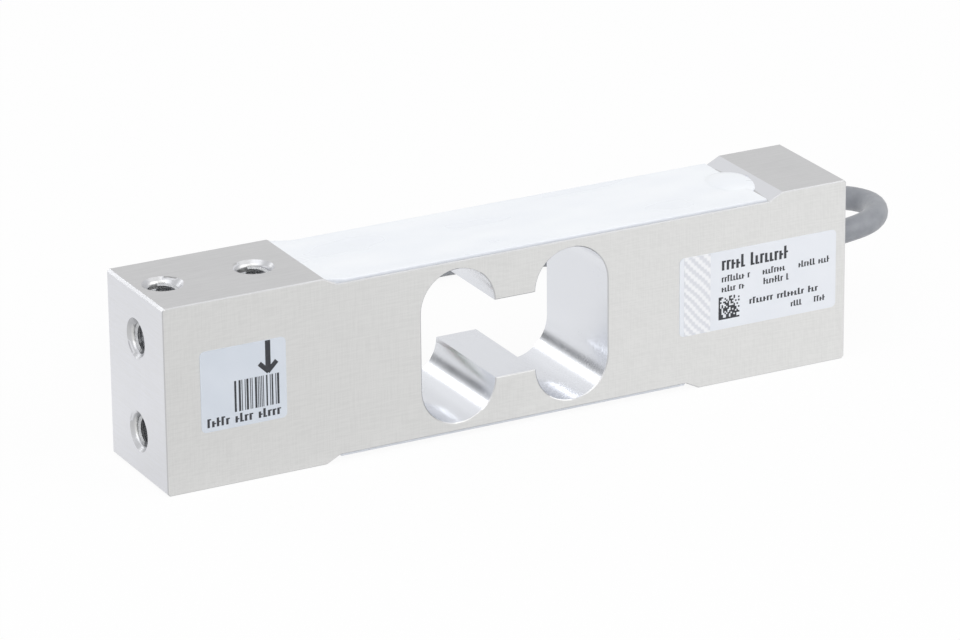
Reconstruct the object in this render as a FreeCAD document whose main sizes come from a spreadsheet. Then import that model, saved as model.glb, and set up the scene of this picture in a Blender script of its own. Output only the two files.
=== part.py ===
"""Single point load cell: milled beam, strain gauge bridge, coatings, stickers and lead.

Frame: +X runs along the beam to the lead's end, +Z up, the face with the stickers looks to -Y.
The origin is at the middle of the beam's underside. Millimetres.
"""
import FreeCAD
import Part
import Sketcher
import math
import os
import re

from FreeCAD import Placement, Rotation, Vector

# Driving dimensions: alias, millimetres (or degrees), what it is.
SIZES = [
    ("beam_length", 150.0, "bar, along X"),
    ("beam_height", 38.1, "bar, along Z"),
    ("beam_width", 25.4, "bar, along Y"),
    ("corner_break", 0.5, "chamfer across the bar's four end corners"),
    ("edge_break", 0.2, "chamfer round both broad faces"),
    ("recess_depth", 1.5, "gauge recess, across the full width"),
    ("recess_ramp", 3.0, "length of the slope at each recess end"),
    ("block_length", 33.75, "full-height block at each end, up to the recess"),
    ("far_land", 14.75, "far block's upper side, up to the recess"),
    ("bore_radius", 8.05, "the window's two upright slots"),
    ("bore_pitch", 25.0, "between the two upright slots"),
    ("web", 1.65, "wall left between a slot and the recess floor"),
    ("prong_gap", 16.1, "height of the gap between the upper and lower prong"),
    ("thread_radius", 3.0, "M6, nominal"),
    ("thread_depth", 12.0, "tapped holes"),
    ("sink_radius", 4.1, "mouth of each tapped hole"),
    ("hole_inset", 6.0, "first tapped hole from the bar's end"),
    ("hole_pitch", 19.0, "between the two tapped holes of a pair"),
    ("end_hole_height", 9.05, "lower tapped hole of the end face"),
    ("cable_radius", 2.5, "lead's jacket"),
    ("cable_height", 21.6, "where the lead leaves the end face"),
    ("cable_bore_radius", 3.3, "bore for the lead"),
    ("cable_bore_depth", 18.2, "bore for the lead"),
    ("jacket_depth", 13.0, "how far the jacket goes into the bore"),
    ("seal_setback", 0.4, "sealing compound, below the end face"),
    ("seal_length", 8.0, "sealing compound"),
    ("channel_radius", 1.6, "upright channel from the bore to the upper recess"),
    ("channel_inset", 17.0, "upright channel from the bar's far end"),
    ("cross_radius", 1.3, "channel between the two recesses"),
    ("cross_inset", 46.0, "cross channel from the bar's far end"),
    ("pocket_inset", 34.5, "near wall of the board's pocket, from the bar's far end"),
    ("pocket_length", 14.5, "board's pocket"),
    ("pocket_width", 15.0, "board's pocket"),
    ("pocket_depth", 1.8, "board's pocket, below the recess"),
    ("coat_thickness", 0.6, "white silicone over the recess"),
    ("coat_margin", 0.3, "silicone back from the bar's edges"),
    ("coat_round", 0.4, "round along the silicone's long edges"),
    ("coat_wedge", 5.0, "silicone's slope down from the near block"),
    ("dome_setback", 2.4, "silicone's bump over the cores, from the core channel"),
    ("dome_length", 5.4, "bump, half length"),
    ("dome_width", 6.4, "bump, half width"),
    ("dome_height", 1.45, "bump over the recess"),
    ("gauge_length", 9.0, "gauge backing"),
    ("gauge_width", 6.0, "gauge backing"),
    ("gauge_thickness", 0.1, "gauge backing"),
    ("foil_thickness", 0.05, "gauge grid and pads"),
    ("grid_length", 5.0, "gauge grid"),
    ("grid_pitch", 0.9, "between the strands of a grid"),
    ("grid_strand", 0.5, "width of a strand"),
    ("tab_length", 1.4, "solder tab of a grid"),
    ("board_margin", 0.5, "between the board and its pocket"),
    ("board_thickness", 0.8, "terminal board"),
    ("pad_length", 1.5, "board pads, along X"),
    ("pad_width", 1.1, "board pads, along Y"),
    ("pad_pitch", 1.7, "between board pads"),
    ("resistor_length", 2.0, "trim resistors, along Y"),
    ("resistor_width", 1.25, "trim resistors, along X"),
    ("resistor_height", 0.5, "trim resistors"),
    ("strip_length", 4.0, "bonded terminals, along X"),
    ("strip_width", 9.0, "bonded terminals, along Y"),
    ("strip_thickness", 0.15, "bonded terminals"),
    ("strip_gap", 1.0, "from the cross channel to the bonded terminals"),
    ("strip_pitch", 1.5, "between wire ends on the bonded terminals"),
    ("lane_start", 2.8, "gauge wires reach their lanes over this length"),
    ("outer_lane", 6.9, "near gauge's wires, upper side, from the middle"),
    ("inner_lane", 4.4, "far gauge's wires, upper side, from the middle"),
    ("low_outer_lane", 4.7, "near gauge's wires, lower side, from the middle"),
    ("low_inner_lane", 2.8, "far gauge's wires, lower side, from the middle"),
    ("board_fan", 4.2, "gauge wires leave their lanes this far from the pads"),
    ("strip_fan", 2.8, "gauge wires leave their lanes this far from the terminals"),
    ("cross_pitch", 0.4, "between the wires in the cross channel"),
    ("lead_radius", 0.1, "gauge wires"),
    ("core_radius", 0.3, "cores inside the beam"),
    ("core_pitch", 0.7, "between cores, side by side"),
    ("core_fan", 2.1, "cores run straight this far before they spread to their pads"),
    ("wire_clearance", 0.05, "between a wire and the surface it runs over"),
    ("label_thickness", 0.1, "stickers"),
    ("label_round", 1.0, "stickers' corners"),
    ("label_height", 16.5, "both stickers"),
    ("label_base", 11.6, "stickers' lower edge"),
    ("serial_length", 18.0, "small sticker"),
    ("serial_inset", 7.4, "small sticker from the near end"),
    ("type_length", 36.0, "large sticker"),
    ("type_inset", 2.3, "large sticker from the far end"),
    ("foil_length", 7.0, "silvery strip of the large sticker"),
    ("foil_film", 0.05, "silvery strip"),
    ("coil_outer", 26.0, "radius of the coil's outer turns, at their middle"),
    ("coil_step", 5.1, "from one turn to the next"),
    ("coil_lead_in", 18.0, "straight stretch that runs on to the coil"),
    ("notch_start", 255.0, "where the last turn ends, degrees"),
    ("notch_sweep", 70.0, "part of a turn that is missing, degrees"),
    ("sleeve_radius", 2.5, "sleeve on the lead's end"),
    ("sleeve_length", 8.0, "sleeve on the lead's end"),
    ("end_core_radius", 0.45, "cores out of the sleeve"),
    ("end_core_length", 17.0, "cores out of the sleeve"),
    ("tip_radius", 0.35, "bare tips"),
    ("tip_length", 4.5, "bare tips"),
]

# The lead's route from the end face to the coil, chosen by hand: a tight fold behind the beam's end,
# down to the surface, and back behind the beam. The first point is the exit and the last meets the coil.
CABLE_ROUTE = [
    (75.0, 0.0, 21.6),
    (81.0, 0.0, 21.6),
    (90.4, 0.3, 22.9),
    (95.7, 9.5, 22.9),
    (90.3, 18.7, 22.5),
    (79.7, 18.9, 20.6),
    (68.6, 24.6, 15.6),
    (61.7, 35.1, 8.8),
    (60.0, 50.8, 2.5),
    (52.2, 61.8, 2.5),
    (39.5, 68.1, 2.5),
    (23.0, 69.6, 2.5),
    (5.5, 68.1, 2.5),
    (-9.5, 68.1, 2.5),
]
COIL_CENTRE = (-27.5, 42.1)
CORNER_SHARE = 0.45
# A wire inside the beam turns a corner at this many times its own radius.
WIRE_BEND = 3.0
# Pads on the terminal board: a row for the gauge wires and one for the lead's cores.
PADS = {"gauge": "abcdefg", "lead": "abcd"}
MIDDLE_PAD = PADS["gauge"].index("d")
CORE_COLOURS = ("black", "red", "white", "green")

doc = FreeCAD.newDocument("LoadCell")
sheet = doc.addObject("Spreadsheet::Sheet", "Sizes")
for row, (alias, value, meaning) in enumerate(SIZES, start=1):
    sheet.set(f"A{row}", alias)
    sheet.set(f"B{row}", str(value))
    sheet.set(f"C{row}", meaning)
    sheet.setAlias(f"B{row}", alias)
# Places that several pieces share, worked out from the driving dimensions.
DERIVED = [
    ("half_length", "beam_length / 2"),
    ("half_width", "beam_width / 2"),
    ("mid_height", "beam_height / 2"),
    ("recess_half", "half_length - block_length"),
    ("recess_far", "half_length - far_land"),
    ("bore_x", "bore_pitch / 2"),
    ("bore_rise", "beam_height - 2 * (recess_depth + web + bore_radius)"),
    ("arc_high", "mid_height + bore_rise / 2"),
    ("arc_low", "mid_height - bore_rise / 2"),
    ("floor_top", "beam_height - recess_depth"),
    ("floor_low", "recess_depth"),
    ("pocket_floor", "floor_top - pocket_depth"),
    ("board_top", "pocket_floor + board_thickness"),
    ("channel_x", "half_length - channel_inset"),
    ("cross_place", "half_length - cross_inset"),
    ("pocket_near", "half_length - pocket_inset"),
    ("core_run", "floor_top + wire_clearance + core_radius"),
    ("gauge_top", "floor_top + gauge_thickness + foil_thickness"),
    ("gauge_low", "floor_low - gauge_thickness - foil_thickness"),
    ("strip_low", "floor_low - strip_thickness"),
    ("strip_near", "cross_place + cross_radius + strip_gap"),
    ("wire_top", "gauge_top + 2 * lead_radius + wire_clearance"),
    ("wire_low", "gauge_low - 2 * lead_radius - wire_clearance"),
    ("sleeve_height", "cable_radius + coil_step"),
]
for row, (alias, formula) in enumerate(DERIVED, start=len(SIZES) + 1):
    sheet.set(f"A{row}", alias)
    sheet.set(f"B{row}", "=" + formula)
    sheet.setAlias(f"B{row}", alias)
doc.recompute()

parts = {}


def size(name):
    """One value of the sheet, as a number."""
    value = sheet.get(name)
    return float(getattr(value, "Value", value))


def number(expression):
    """An expression over the sheet's names, as a number."""
    value = sheet.evalExpression(expression)
    return float(getattr(value, "Value", value))


def bind(item, **properties):
    """Tie properties of an object to expressions over the sheet."""
    for name, expression in properties.items():
        item.setExpression(name.replace("__", "."), with_sheet(expression))


def with_sheet(expression):
    """Put the sheet's name before each of its aliases in an expression."""
    return re.sub(r"[a-z][a-z_]+", lambda word: "Sizes." + word.group(), expression)


def keep(label, item):
    """Name an object as a piece of the load cell."""
    item.Label = label
    parts[label] = item
    return item


# Sketches and bodies.

def new_sketch(body, name, plane, offset="0"):
    """A sketch on one of the body's own origin planes, moved along its normal."""
    sketch = body.newObject("Sketcher::SketchObject", name)
    face = next(f for f in body.Origin.OriginFeatures if f.Role == plane)
    sketch.AttachmentSupport = [(face, "")]
    sketch.MapMode = "FlatFace"
    sketch.setExpression("AttachmentOffset.Base.z", with_sheet(offset))
    return sketch


def place_point(sketch, geometry, vertex, across, up):
    """Hold a sketch point at two expressions."""
    for kind, expression in (("DistanceX", across), ("DistanceY", up)):
        index = sketch.addConstraint(
            Sketcher.Constraint(kind, -1, 1, geometry, vertex, number(expression)))
        sketch.setExpression(f"Constraints[{index}]", with_sheet(expression))


def outline(sketch, points):
    """A closed outline of straight lines through (across, up) expressions."""
    spots = [Vector(number(a), number(u), 0) for a, u in points]
    first = sketch.GeometryCount
    for i, spot in enumerate(spots):
        sketch.addGeometry(Part.LineSegment(spot, spots[(i + 1) % len(spots)]))
    for i, (across, up) in enumerate(points):
        following = first + (i + 1) % len(points)
        sketch.addConstraint(Sketcher.Constraint("Coincident", first + i, 2, following, 1))
        place_point(sketch, first + i, 1, across, up)


def circle(sketch, across, up, radius):
    """A circle with its centre and radius held."""
    centre = Vector(number(across), number(up), 0)
    index = sketch.addGeometry(Part.Circle(centre, Vector(0, 0, 1), number(radius)))
    place_point(sketch, index, 3, across, up)
    held = sketch.addConstraint(Sketcher.Constraint("Radius", index, number(radius)))
    sketch.setExpression(f"Constraints[{held}]", with_sheet(radius))


def upright_slot(sketch, across, low, high, radius):
    """Two half circles joined by upright lines."""
    x, z0, z1, r = (number(e) for e in (across, low, high, radius))
    normal = Vector(0, 0, 1)
    top = sketch.addGeometry(Part.ArcOfCircle(Part.Circle(Vector(x, z1, 0), normal, r), 0, math.pi))
    left = sketch.addGeometry(Part.LineSegment(Vector(x - r, z1, 0), Vector(x - r, z0, 0)))
    base = sketch.addGeometry(
        Part.ArcOfCircle(Part.Circle(Vector(x, z0, 0), normal, r), math.pi, 2 * math.pi))
    right = sketch.addGeometry(Part.LineSegment(Vector(x + r, z0, 0), Vector(x + r, z1, 0)))
    for one, following in ((top, left), (left, base), (base, right), (right, top)):
        sketch.addConstraint(Sketcher.Constraint("Tangent", one, 2, following, 1))
    sketch.addConstraint(Sketcher.Constraint("Equal", top, base))
    place_point(sketch, top, 3, across, high)
    place_point(sketch, base, 3, across, low)
    held = sketch.addConstraint(Sketcher.Constraint("Radius", top, r))
    sketch.setExpression(f"Constraints[{held}]", with_sheet(radius))


def pad(body, sketch, name, length, midplane=False, reverse=False):
    """Add a straight extrusion of a sketch."""
    feature = body.newObject("PartDesign::Pad", name)
    feature.Profile = sketch
    feature.Midplane = midplane
    feature.Reversed = reverse
    bind(feature, Length=length)
    return feature


def cut(body, sketch, name, length=None, reverse=False):
    """Cut a sketch out, to a depth or right through both ways."""
    feature = body.newObject("PartDesign::Pocket", name)
    feature.Profile = sketch
    feature.Reversed = reverse
    if length is None:
        feature.Type = "ThroughAll"
        feature.Midplane = True
    else:
        bind(feature, Length=length)
    return feature


def edges_where(shape, test):
    """Names of the edges whose ends and middle all pass a test."""
    names = []
    for i, edge in enumerate(shape.Edges, start=1):
        middle = edge.valueAt((edge.FirstParameter + edge.LastParameter) / 2)
        if all(test(p) for p in [v.Point for v in edge.Vertexes] + [middle]):
            names.append(f"Edge{i}")
    return names


# The beam.

def tapped_holes(body, name, plane, offset, spots, inward):
    """M6 holes with countersunk mouths and drill-point ends, as nominal bores."""
    sketch = new_sketch(body, name + "Centres", plane, offset)
    for across, up in spots:
        circle(sketch, across, up, "thread_radius")
    doc.recompute()
    hole = body.newObject("PartDesign::Hole", name)
    hole.Profile = sketch
    hole.Reversed = inward
    hole.DepthType = "Dimension"
    hole.HoleCutType = "Countersink"
    hole.HoleCutCustomValues = True
    hole.HoleCutCountersinkAngle = 90
    hole.DrillPoint = "Angled"
    hole.DrillPointAngle = 118
    bind(hole, Diameter="2 * thread_radius", Depth="thread_depth", HoleCutDiameter="2 * sink_radius")
    doc.recompute()
    return hole


def build_beam():
    """The bar with its recesses, window, tapped holes and wire channels."""
    body = doc.addObject("PartDesign::Body", "Beam")
    side = new_sketch(body, "SideProfile", "XZ_Plane")
    outline(side, [
        ("-half_length + corner_break", "0"),
        ("-recess_half", "0"),
        ("-recess_half + recess_ramp", "floor_low"),
        ("recess_half - recess_ramp", "floor_low"),
        ("recess_half", "0"),
        ("half_length - corner_break", "0"),
        ("half_length", "corner_break"),
        ("half_length", "beam_height - corner_break"),
        ("half_length - corner_break", "beam_height"),
        ("recess_far", "beam_height"),
        ("recess_far - recess_ramp", "floor_top"),
        ("-recess_half + recess_ramp", "floor_top"),
        ("-recess_half", "beam_height"),
        ("-half_length + corner_break", "beam_height"),
        ("-half_length", "beam_height - corner_break"),
        ("-half_length", "corner_break"),
    ])
    pad(body, side, "Bar", "beam_width", midplane=True)

    slot = new_sketch(body, "BoreProfile", "XZ_Plane")
    upright_slot(slot, "-bore_x", "arc_low", "arc_high", "bore_radius")
    near_bore = cut(body, slot, "NearBore")
    doc.recompute()
    pair = body.newObject("PartDesign::Mirrored", "BorePair")
    pair.Originals = [near_bore]
    pair.MirrorPlane = (next(f for f in body.Origin.OriginFeatures if f.Role == "YZ_Plane"), [""])
    body.Tip = pair
    gap = new_sketch(body, "ProngGap", "XZ_Plane")
    outline(gap, [
        ("-bore_x", "mid_height - prong_gap / 2"),
        ("bore_x", "mid_height - prong_gap / 2"),
        ("bore_x", "mid_height + prong_gap / 2"),
        ("-bore_x", "mid_height + prong_gap / 2"),
    ])
    cut(body, gap, "ProngGapCut")
    doc.recompute()

    face, sharp = number("half_width"), body.Tip
    rim = edges_where(sharp.Shape, lambda p: abs(abs(p.y) - face) < 1e-6)
    breaks = body.newObject("PartDesign::Chamfer", "EdgeBreaks")
    breaks.Base = (sharp, rim)
    bind(breaks, Size="edge_break")
    body.Tip = breaks
    doc.recompute()

    outer, inner = "half_length - hole_inset", "half_length - hole_inset - hole_pitch"
    tapped_holes(body, "TopHoles", "XY_Plane", "beam_height",
                 [(f"-({outer})", "0"), (f"-({inner})", "0")], False)
    tapped_holes(body, "UnderHoles", "XY_Plane", "0", [(outer, "0"), (inner, "0")], True)
    tapped_holes(body, "EndHoles", "YZ_Plane", "-half_length",
                 [("0", "end_hole_height"), ("0", "end_hole_height + hole_pitch")], True)

    entry = new_sketch(body, "CableBoreProfile", "YZ_Plane", "half_length")
    circle(entry, "0", "cable_height", "cable_bore_radius")
    cut(body, entry, "CableBore", "cable_bore_depth")
    channel = new_sketch(body, "ChannelProfile", "XY_Plane", "beam_height")
    circle(channel, "channel_x", "0", "channel_radius")
    cut(body, channel, "CoreChannel", "beam_height - cable_height")
    cross = new_sketch(body, "CrossProfile", "XY_Plane", "mid_height")
    circle(cross, "cross_place", "0", "cross_radius")
    cut(body, cross, "CrossChannel")
    pocket = new_sketch(body, "BoardPocketProfile", "XY_Plane", "floor_top")
    outline(pocket, [
        ("pocket_near", "-pocket_width / 2"),
        ("pocket_near + pocket_length", "-pocket_width / 2"),
        ("pocket_near + pocket_length", "pocket_width / 2"),
        ("pocket_near", "pocket_width / 2"),
    ])
    cut(body, pocket, "BoardPocket", "pocket_depth")
    keep("beam", body)


# Plain solids bound to the sheet.

def box(name, x, y, z, length, width, height):
    """A box from its low corner and its three sizes, all expressions."""
    item = doc.addObject("Part::Box", name)
    bind(item, Length=length, Width=width, Height=height)
    bind(item, Placement__Base__x=x, Placement__Base__y=y, Placement__Base__z=z)
    return item


def rod(name, x, y, z, radius, height, direction):
    """A cylinder from the middle of its base, along +X or +Z."""
    item = doc.addObject("Part::Cylinder", name)
    if direction == "X":
        item.Placement = Placement(Vector(), Rotation(Vector(0, 1, 0), 90))
    bind(item, Radius=radius, Height=height)
    bind(item, Placement__Base__x=x, Placement__Base__y=y, Placement__Base__z=z)
    return item


def joined(name, items):
    """Several solids as one object."""
    item = doc.addObject("Part::MultiFuse", name)
    item.Shapes = items
    return item


def group(name, items):
    """Several solids that stay apart in one object."""
    item = doc.addObject("Part::Compound", name)
    item.Links = items
    return item


def without(name, base, tool):
    """One solid less another."""
    item = doc.addObject("Part::Cut", name)
    item.Base = base
    item.Tool = tool
    return item


# Round wires and the lead.

def tube(label, points, radius, tightest=None):
    """A round solid of straight runs and tangent arcs through the points, its length and its arcs' radii."""
    spots = [Vector(*p) for p in points]
    solids, radii, length, start = [], [], 0.0, spots[0]
    for before, corner, after in zip(spots, spots[1:], spots[2:]):
        run_in, run_out = corner - before, after - corner
        half_turn = run_in.getAngle(run_out) / 2
        bend = CORNER_SHARE * min(run_in.Length, run_out.Length) / math.tan(half_turn)
        if tightest is not None:
            bend = min(bend, tightest)
        trim = bend * math.tan(half_turn)
        run_in.normalize()
        run_out.normalize()
        begin = corner - run_in * trim
        centre = corner + (run_out - run_in).normalize() * (bend / math.cos(half_turn))
        solids.append(straight(start, begin, radius))
        solids.append(elbow(centre, begin, run_in.cross(run_out), radius, math.degrees(2 * half_turn)))
        length += (begin - start).Length + bend * 2 * half_turn
        radii.append(bend)
        start = corner + run_out * trim
    solids.append(straight(start, spots[-1], radius))
    length += (spots[-1] - start).Length
    item = doc.addObject("Part::Feature", label.title().replace("_", ""))
    item.Shape = solids[0].multiFuse(solids[1:])
    return keep(label, item), length, radii


def elbow(centre, begin, axis, radius, turn):
    """Part of a round ring, from one point on round an axis."""
    arm = begin - centre
    item = Part.makeTorus(arm.Length, radius, Vector(), Vector(0, 0, 1), 0, 360, turn)
    item.Placement = Placement(centre, Rotation(arm, axis.cross(arm), axis, "ZXY"))
    return item


def straight(start, finish, radius):
    """A round bar between two points."""
    run = finish - start
    return Part.makeCylinder(radius, run.Length, start, run)


# Gauges, terminals and the wires between them.

def gauge(place, side, x):
    """A backing on the recess floor with its foil grid: four strands joined at their ends, and two tabs."""
    title = side.title() + place.title()
    if side == "top":
        base, foil = "floor_top", "floor_top + gauge_thickness"
    else:
        base, foil = "floor_low - gauge_thickness", "gauge_low"
    keep(f"gauge_{side}_{place}", box(
        "Gauge" + title, f"{x} - gauge_length / 2", "-gauge_width / 2", base,
        "gauge_length", "gauge_width", "gauge_thickness"))
    pieces = []
    strands = [f"({i} - 1.5) * grid_pitch - grid_strand / 2" for i in range(4)]
    for i, across in enumerate(strands):
        pieces.append(box(f"Strand{title}{i}", f"{x} - grid_length / 2", across, foil,
                          "grid_length", "grid_strand", "foil_thickness"))
    ends = ("grid_length / 2 - grid_strand", "-grid_length / 2", "grid_length / 2 - grid_strand")
    for i, (end, across) in enumerate(zip(ends, strands)):
        pieces.append(box(f"Turn{title}{i}", f"{x} + {end}", across, foil,
                          "grid_strand", "grid_pitch + grid_strand", "foil_thickness"))
    for i, across in enumerate((strands[0] + " - grid_strand", strands[-1])):
        pieces.append(box(f"Tab{title}{i}", f"{x} - grid_length / 2 - tab_length", across, foil,
                          "tab_length + grid_strand", "2 * grid_strand", "foil_thickness"))
    keep(f"grid_{side}_{place}", joined("Grid" + title, pieces))


def tab_spot(x, which):
    """The middle of a grid's solder tab, in numbers."""
    across = 1.5 * size("grid_pitch") + size("grid_strand") / 2
    return x - size("grid_length") / 2 - size("tab_length") / 2, across if which else -across


def pad_place(row, column):
    """The middle of a board pad, as expressions; column 0 is the one at the lowest Y."""
    if row == "gauge":
        x = "pocket_near + board_margin + pad_length"
    else:
        x = "pocket_near + pocket_length - board_margin - pad_length"
    return x, f"({column} - {(len(PADS[row]) - 1) / 2}) * pad_pitch"


def pad_spot(row, column):
    """The middle of a board pad, in numbers."""
    x, y = pad_place(row, column)
    return number(x), number(y)


def build_board():
    """The terminal board in its pocket, its pads, and two trim resistors."""
    keep("terminal_board", box(
        "TerminalBoard", "pocket_near + board_margin", "-pocket_width / 2 + board_margin", "pocket_floor",
        "pocket_length - 2 * board_margin", "pocket_width - 2 * board_margin", "board_thickness"))
    pads = []
    for row, letters in PADS.items():
        for column, letter in enumerate(letters):
            x, y = pad_place(row, column)
            corner = f"{x} - pad_length / 2", f"{y} - pad_width / 2", "board_top"
            pads.append(box(f"Pad{row.title()}{letter.upper()}", *corner,
                            "pad_length", "pad_width", "foil_thickness"))
    keep("board_pads", group("BoardPads", pads))
    for name, side in (("zero", "-1"), ("span", "1")):
        keep("trim_resistor_" + name, box(
            "TrimResistor" + name.title(),
            "pocket_near + pocket_length / 2 - resistor_width / 2",
            f"{side} * pocket_width / 4 - resistor_length / 2", "board_top",
            "resistor_width", "resistor_length", "resistor_height"))


def build_bottom_terminals():
    """Bonded solder terminals beside the cross channel, under the bar."""
    keep("bottom_terminals", box(
        "BottomTerminals", "strip_near", "-strip_width / 2", "strip_low",
        "strip_length", "strip_width", "strip_thickness"))


def gauge_wire(name, tab, lane, fan, end, heights):
    """A fine wire that rises off a grid's tab, runs along a lane and drops on to its pad."""
    start_x, start_y = tab
    end_x, end_y = end
    first, run, last = heights
    points = [
        (start_x, start_y, first),
        (start_x, start_y, run),
        (start_x + size("lane_start"), lane, run),
        (end_x - fan, lane, run),
        (end_x, end_y, run),
        (end_x, end_y, last),
    ]
    tube(name, points, size("lead_radius"), WIRE_BEND * size("lead_radius"))


def build_leads():
    """Fine wires from each grid tab to the board or to the bonded terminals, and on through the bar."""
    bore = number("bore_x")
    top_heights = [number(e) for e in ("gauge_top", "wire_top", "board_top + foil_thickness")]
    low_heights = [number(e) for e in ("gauge_low", "wire_low", "strip_low")]
    strip_x, strip_pitch = number("strip_near + 3 * strip_length / 4"), size("strip_pitch")
    for which, side in enumerate((-1, 1)):
        for place, x, step, lane in (("near", -bore, 3, "outer_lane"), ("far", bore, 2, "inner_lane")):
            gauge_wire(f"lead_top_{place}_{'ab'[which]}", tab_spot(x, which), side * size(lane),
                       size("board_fan"), pad_spot("gauge", MIDDLE_PAD + side * step), top_heights)
            spot = (strip_x, side * (step - 0.5) * strip_pitch)
            gauge_wire(f"lead_bottom_{place}_{'ab'[which]}", tab_spot(x, which), side * size("low_" + lane),
                       size("strip_fan"), spot, low_heights)
    start_x = strip_x - size("strip_length") / 2
    first, low, high, last = low_heights[2], low_heights[1], top_heights[1], top_heights[2]
    for i, name in enumerate("abc", start=-1):
        end_x, end_y = pad_spot("gauge", MIDDLE_PAD + i)
        channel = (size("cross_place"), i * size("cross_pitch"))
        points = [
            (start_x, i * strip_pitch / 2, first),
            (start_x, i * strip_pitch / 2, low),
            (*channel, low),
            (*channel, high),
            (end_x, end_y, high),
            (end_x, end_y, last),
        ]
        tube(f"cross_wire_{name}", points, size("lead_radius"), WIRE_BEND * size("lead_radius"))


def build_entry():
    """The jacket in its bore, the sealing compound round it, and the cores up to the board."""
    keep("cable_jacket_end", rod("CableJacketEnd", "half_length - jacket_depth", "0", "cable_height",
                                 "cable_radius", "jacket_depth", "X"))
    blank = rod("SealBlank", "half_length - seal_setback - seal_length", "0", "cable_height",
                "cable_bore_radius", "seal_length", "X")
    core = rod("SealHole", "half_length - seal_setback - seal_length", "0", "cable_height",
               "cable_radius", "seal_length", "X")
    keep("entry_seal", without("EntrySeal", blank, core))
    channel, run, pad_top = number("channel_x"), number("core_run"), number("board_top + foil_thickness")
    for i, colour in enumerate(CORE_COLOURS):
        y = (i - 1.5) * size("core_pitch")
        end_x, end_y = pad_spot("lead", i)
        points = [
            (number("half_length - jacket_depth"), y, size("cable_height")),
            (channel, y, size("cable_height")),
            (channel, y, run),
            (channel - size("core_fan"), y, run),
            (end_x, end_y, run),
            (end_x, end_y, pad_top),
        ]
        tube("core_" + colour, points, size("core_radius"), WIRE_BEND * size("core_radius"))


# The white silicone.

def coating_body(name, upper):
    """The coating's plate: the recess's width, thin, and sloping at its ends."""
    body = doc.addObject("PartDesign::Body", name)
    sketch = new_sketch(body, name + "Profile", "XZ_Plane")
    if upper:
        outline(sketch, [
            ("-recess_half + recess_ramp", "floor_top"),
            ("recess_far - recess_ramp - coat_margin", "floor_top"),
            ("recess_far - recess_ramp - 2 * coat_margin", "floor_top + coat_thickness"),
            ("-recess_half + coat_wedge", "floor_top + coat_thickness"),
            ("-recess_half + coat_margin", "beam_height - recess_depth * coat_margin / recess_ramp"),
        ])
    else:
        outline(sketch, [
            ("-recess_half + recess_ramp", "floor_low"),
            ("-recess_half + recess_ramp + coat_margin", "floor_low - coat_thickness"),
            ("recess_half - recess_ramp - coat_margin", "floor_low - coat_thickness"),
            ("recess_half - recess_ramp", "floor_low"),
        ])
    plate = pad(body, sketch, name + "Plate", "beam_width - 2 * coat_margin", midplane=True)
    doc.recompute()
    face = number("half_width - coat_margin")
    level = number("floor_top") if upper else number("floor_low")
    outer = edges_where(plate.Shape, lambda p: abs(abs(p.y) - face) < 1e-6 and abs(p.z - level) > 0.05)
    rounds = body.newObject("PartDesign::Fillet", name + "Rounds")
    rounds.Base = (plate, outer)
    bind(rounds, Radius="coat_round")
    body.Tip = rounds
    doc.recompute()
    return body


def embedded(prefix, names):
    """What a coating is cast round, as one tool."""
    return group(prefix + "Embedded", [parts[n] for n in names])


def build_coatings():
    """Both coatings, with room for what lies in them."""
    plate = coating_body("TopCoat", True)
    fill = box("PocketFill", "pocket_near", "-pocket_width / 2", "pocket_floor",
               "pocket_length", "pocket_width", "pocket_depth")
    dome = doc.addObject("Part::Ellipsoid", "Dome")
    bind(dome, Radius1="dome_height", Radius2="dome_length", Radius3="dome_width")
    bind(dome, Placement__Base__x="channel_x - dome_setback", Placement__Base__z="floor_top")
    whole = joined("TopCoatWhole", [plate, fill, dome])
    inside_top = ["beam", "terminal_board", "board_pads", "trim_resistor_zero", "trim_resistor_span"]
    inside_low = ["bottom_terminals"]
    for name in parts:
        if "_top_" in name or name.startswith(("core_", "cross_wire_")):
            inside_top.append(name)
        if "_bottom_" in name or name.startswith("cross_wire_"):
            inside_low.append(name)
    keep("top_coating", without("TopCoating", whole, embedded("Top", inside_top)))
    low = coating_body("LowCoat", False)
    keep("bottom_coating", without("BottomCoating", low, embedded("Low", inside_low)))


# Stickers.

def sticker(label, name, x, length, thickness, setback="0", rounded=True):
    """A thin sheet on the front face, or on another one."""
    body = doc.addObject("PartDesign::Body", name)
    sketch = new_sketch(body, name + "Outline", "XZ_Plane", f"half_width + {setback}")
    outline(sketch, [
        (x, "label_base"),
        (f"{x} + {length}", "label_base"),
        (f"{x} + {length}", "label_base + label_height"),
        (x, "label_base + label_height"),
    ])
    sheet_pad = pad(body, sketch, name + "Sheet", thickness)
    doc.recompute()
    if rounded:
        corners = [f"Edge{i}" for i, edge in enumerate(sheet_pad.Shape.Edges, start=1)
                   if abs(edge.Vertexes[0].Y - edge.Vertexes[1].Y) > 1e-6]
        rounds = body.newObject("PartDesign::Fillet", name + "Corners")
        rounds.Base = (sheet_pad, corners)
        bind(rounds, Radius="label_round")
        body.Tip = rounds
    keep(label, body)


# The lead.

def build_cable():
    """The lead from the end face to its coil, as one round solid."""
    item, length, radii = tube("cable_run", CABLE_ROUTE, size("cable_radius"))
    section = math.pi * size("cable_radius") ** 2
    print("cable_run: length %.1f mm, volume over section times length %.4f"
          % (length, item.Shape.Volume / (section * length)))
    print("cable_run radii, mm:", ", ".join("%.1f" % r for r in radii))


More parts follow.
